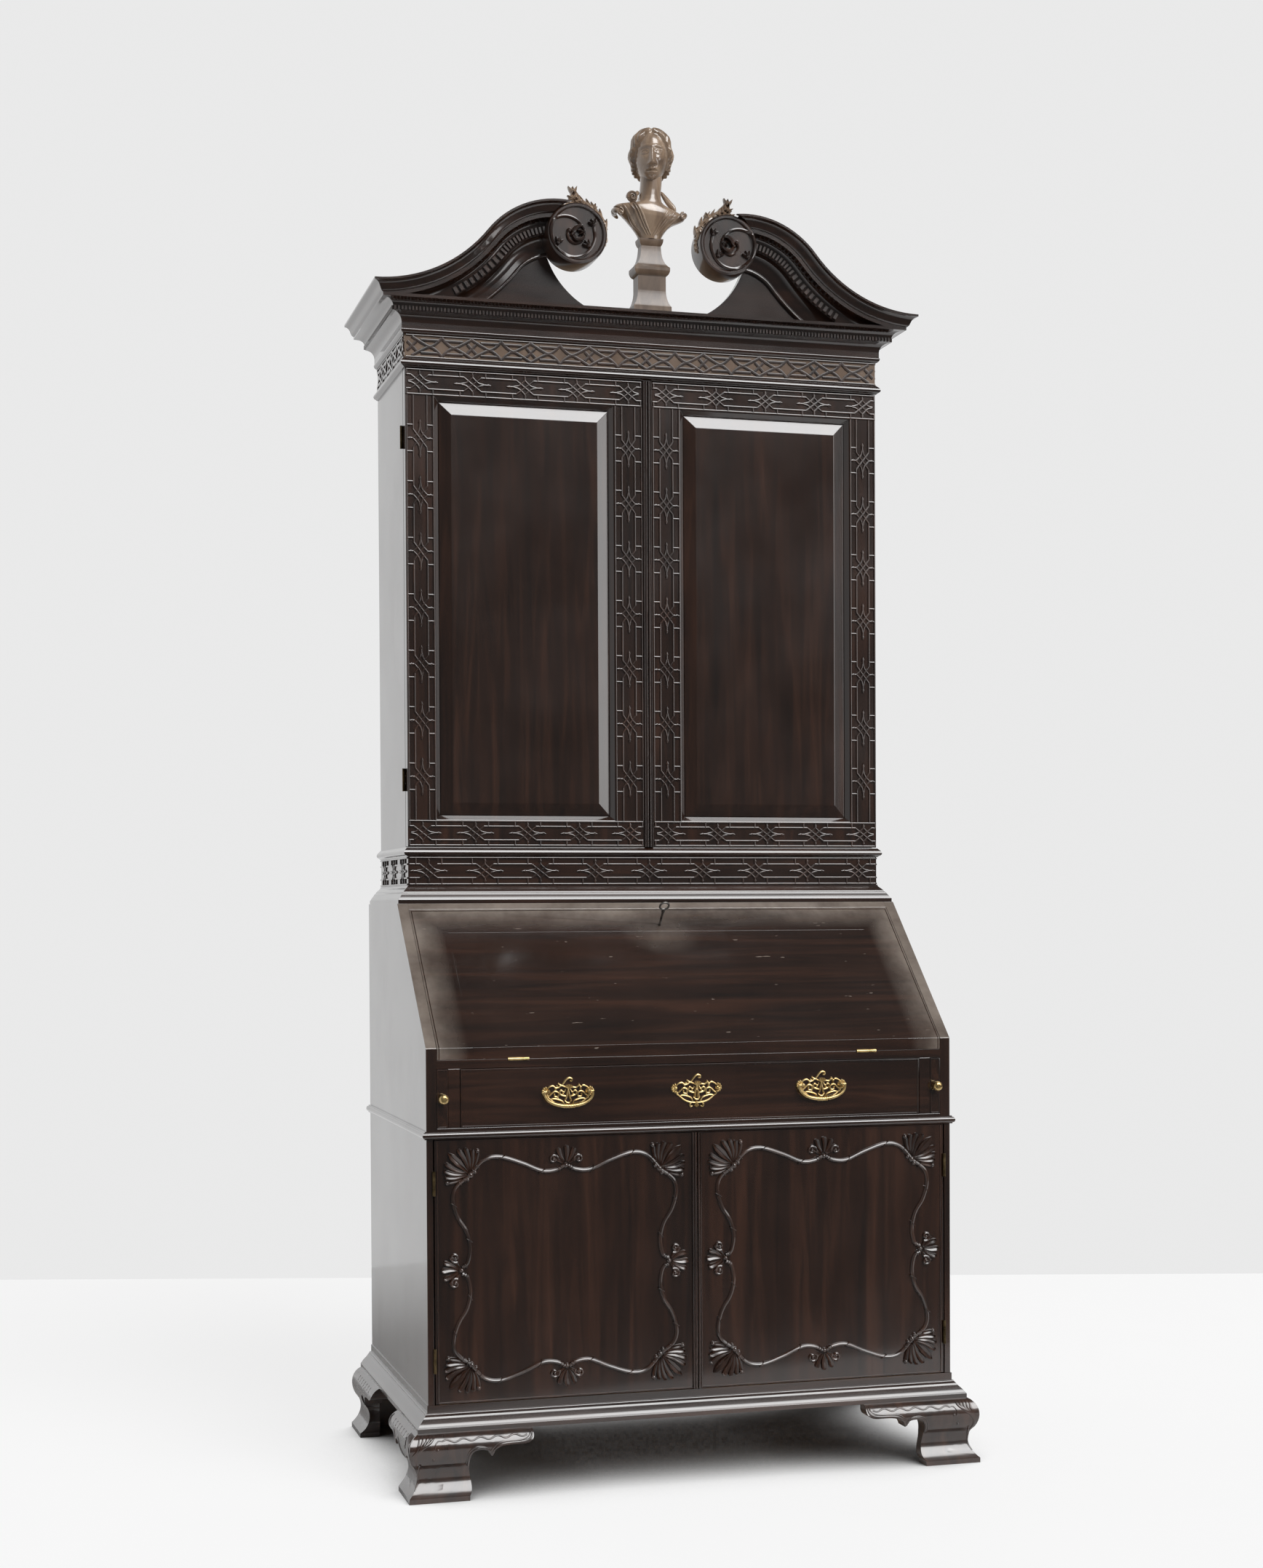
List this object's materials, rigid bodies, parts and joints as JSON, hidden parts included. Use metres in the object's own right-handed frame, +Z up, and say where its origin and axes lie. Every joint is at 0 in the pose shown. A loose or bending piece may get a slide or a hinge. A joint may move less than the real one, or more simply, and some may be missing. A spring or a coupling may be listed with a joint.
{
  "type": "bureau bookcase",
  "caption": "Tall dark wood desk and bookcase with sloping fall, long drawer, carved cupboard doors below, panelled doors above and a swan-neck pediment with bust.",
  "frame": {"origin": "on the floor under the middle of the piece", "axes": "+X to the piece's right as seen from the front, the front faces -Y, +Z up"},
  "size_m": [1.128, 0.679, 2.6439],
  "materials": {
    "mahogany": "polished",
    "secondary_wood": "waxed",
    "brass": "lacquered",
    "steel": "worn"
  },
  "bodies": {
    "case": {"desk_side_left": "mahogany", "desk_side_right": "mahogany", "desk_bottom": "secondary_wood", "back_panels": "secondary_wood", "drawer_frame": "mahogany", "writing_bed": "mahogany", "desk_top": "mahogany", "gallery": "mahogany", "base_moulding": "mahogany", "mid_moulding": "mahogany", "feet_front": "mahogany", "feet_back": "mahogany", "shelves": "secondary_wood", "bookcase_side_left": "mahogany", "bookcase_side_right": "mahogany", "bookcase_bottom": "secondary_wood", "bookcase_top": "secondary_wood", "bookcase_friezes": "mahogany", "bookcase_base_moulding": "mahogany", "bookcase_astragals": "mahogany", "cornice": "mahogany", "rakes": "mahogany", "tympana": "mahogany", "volutes": "mahogany", "pedestal": "mahogany", "bust": "mahogany", "door_hinge_case_leaves": "brass", "fall_hinge_bed_leaves": "brass"},
    "fall": {"fall_board": "mahogany", "fall_clamps": "mahogany", "fall_lock": "steel", "fall_hinge_lid_leaves": "brass"},
    "bolt": {"fall_bolt": "steel"},
    "key": {"fall_key": "steel"},
    "drawer": {"drawer_front": "mahogany", "drawer_box": "secondary_wood", "drawer_floor": "secondary_wood", "handle_plates": "brass"},
    "bail_left": {"bail_left": "brass"},
    "bail_right": {"bail_right": "brass"},
    "loper_left": {"loper_left": "mahogany", "loper_knob_left": "brass"},
    "loper_right": {"loper_right": "mahogany", "loper_knob_right": "brass"},
    "cupboard_door_left": {"cupboard_door_left": "mahogany", "cupboard_carving_left": "mahogany", "cupboard_bead_left": "mahogany", "cupboard_hinge_left": "brass"},
    "cupboard_door_right": {"cupboard_door_right": "mahogany", "cupboard_carving_right": "mahogany", "cupboard_bead_right": "mahogany", "cupboard_hinge_right": "brass"},
    "bookcase_door_left": {"bookcase_frame_left": "mahogany", "bookcase_panel_left": "mahogany", "bookcase_bead_left": "mahogany", "bookcase_hinge_left": "brass"},
    "bookcase_door_right": {"bookcase_frame_right": "mahogany", "bookcase_panel_right": "mahogany", "bookcase_bead_right": "mahogany", "bookcase_hinge_right": "brass"}
  },
  "joints": [
    {"name": "fall_hinge", "type": "hinge", "parent": "case", "child": "fall", "pos_m": [0, -0.2955, 0.80672], "axis": [1, 0, 0], "range_deg": [0, 137.3]},
    {"name": "key_turn", "type": "hinge", "parent": "fall", "child": "key", "pos_m": [0, -0.05336, 1.05174], "axis": [0, -0.677, 0.736], "range_deg": [0, 90]},
    {"name": "bolt_slide", "type": "slide", "parent": "fall", "child": "bolt", "axis": [0, 0.736, 0.677], "range_m": [0, 0.008]},
    {"name": "drawer_slide", "type": "slide", "parent": "case", "child": "drawer", "axis": [0, -1, 0], "range_m": [0, 0.38]},
    {"name": "bail_hinge_left", "type": "hinge", "parent": "drawer", "child": "bail_left", "pos_m": [-0.2515, -0.3045, 0.74401], "axis": [-1, 0, 0], "range_deg": [0, 90]},
    {"name": "bail_hinge_right", "type": "hinge", "parent": "drawer", "child": "bail_right", "pos_m": [0.2515, -0.3045, 0.74401], "axis": [-1, 0, 0], "range_deg": [0, 90]},
    {"name": "loper_slide_left", "type": "slide", "parent": "case", "child": "loper_left", "axis": [0, -1, 0], "range_m": [0, 0.3]},
    {"name": "loper_slide_right", "type": "slide", "parent": "case", "child": "loper_right", "axis": [0, -1, 0], "range_m": [0, 0.3]},
    {"name": "cupboard_door_left_hinge", "type": "hinge", "parent": "case", "child": "cupboard_door_left", "pos_m": [-0.5067, -0.2987, 0.415], "axis": [0, 0, -1], "range_deg": [0, 110]},
    {"name": "cupboard_door_right_hinge", "type": "hinge", "parent": "case", "child": "cupboard_door_right", "pos_m": [0.5067, -0.2987, 0.415], "axis": [0, 0, 1], "range_deg": [0, 110]},
    {"name": "bookcase_door_left_hinge", "type": "hinge", "parent": "case", "child": "bookcase_door_left", "pos_m": [-0.4965, 0.0443, 1.678], "axis": [0, 0, -1], "range_deg": [0, 120]},
    {"name": "bookcase_door_right_hinge", "type": "hinge", "parent": "case", "child": "bookcase_door_right", "pos_m": [0.4965, 0.0443, 1.678], "axis": [0, 0, 1], "range_deg": [0, 120]}
  ],
  "couplings": [
    {"joint": "key_turn", "follows": "bolt_slide", "rad_per_m": 196.35}
  ]
}
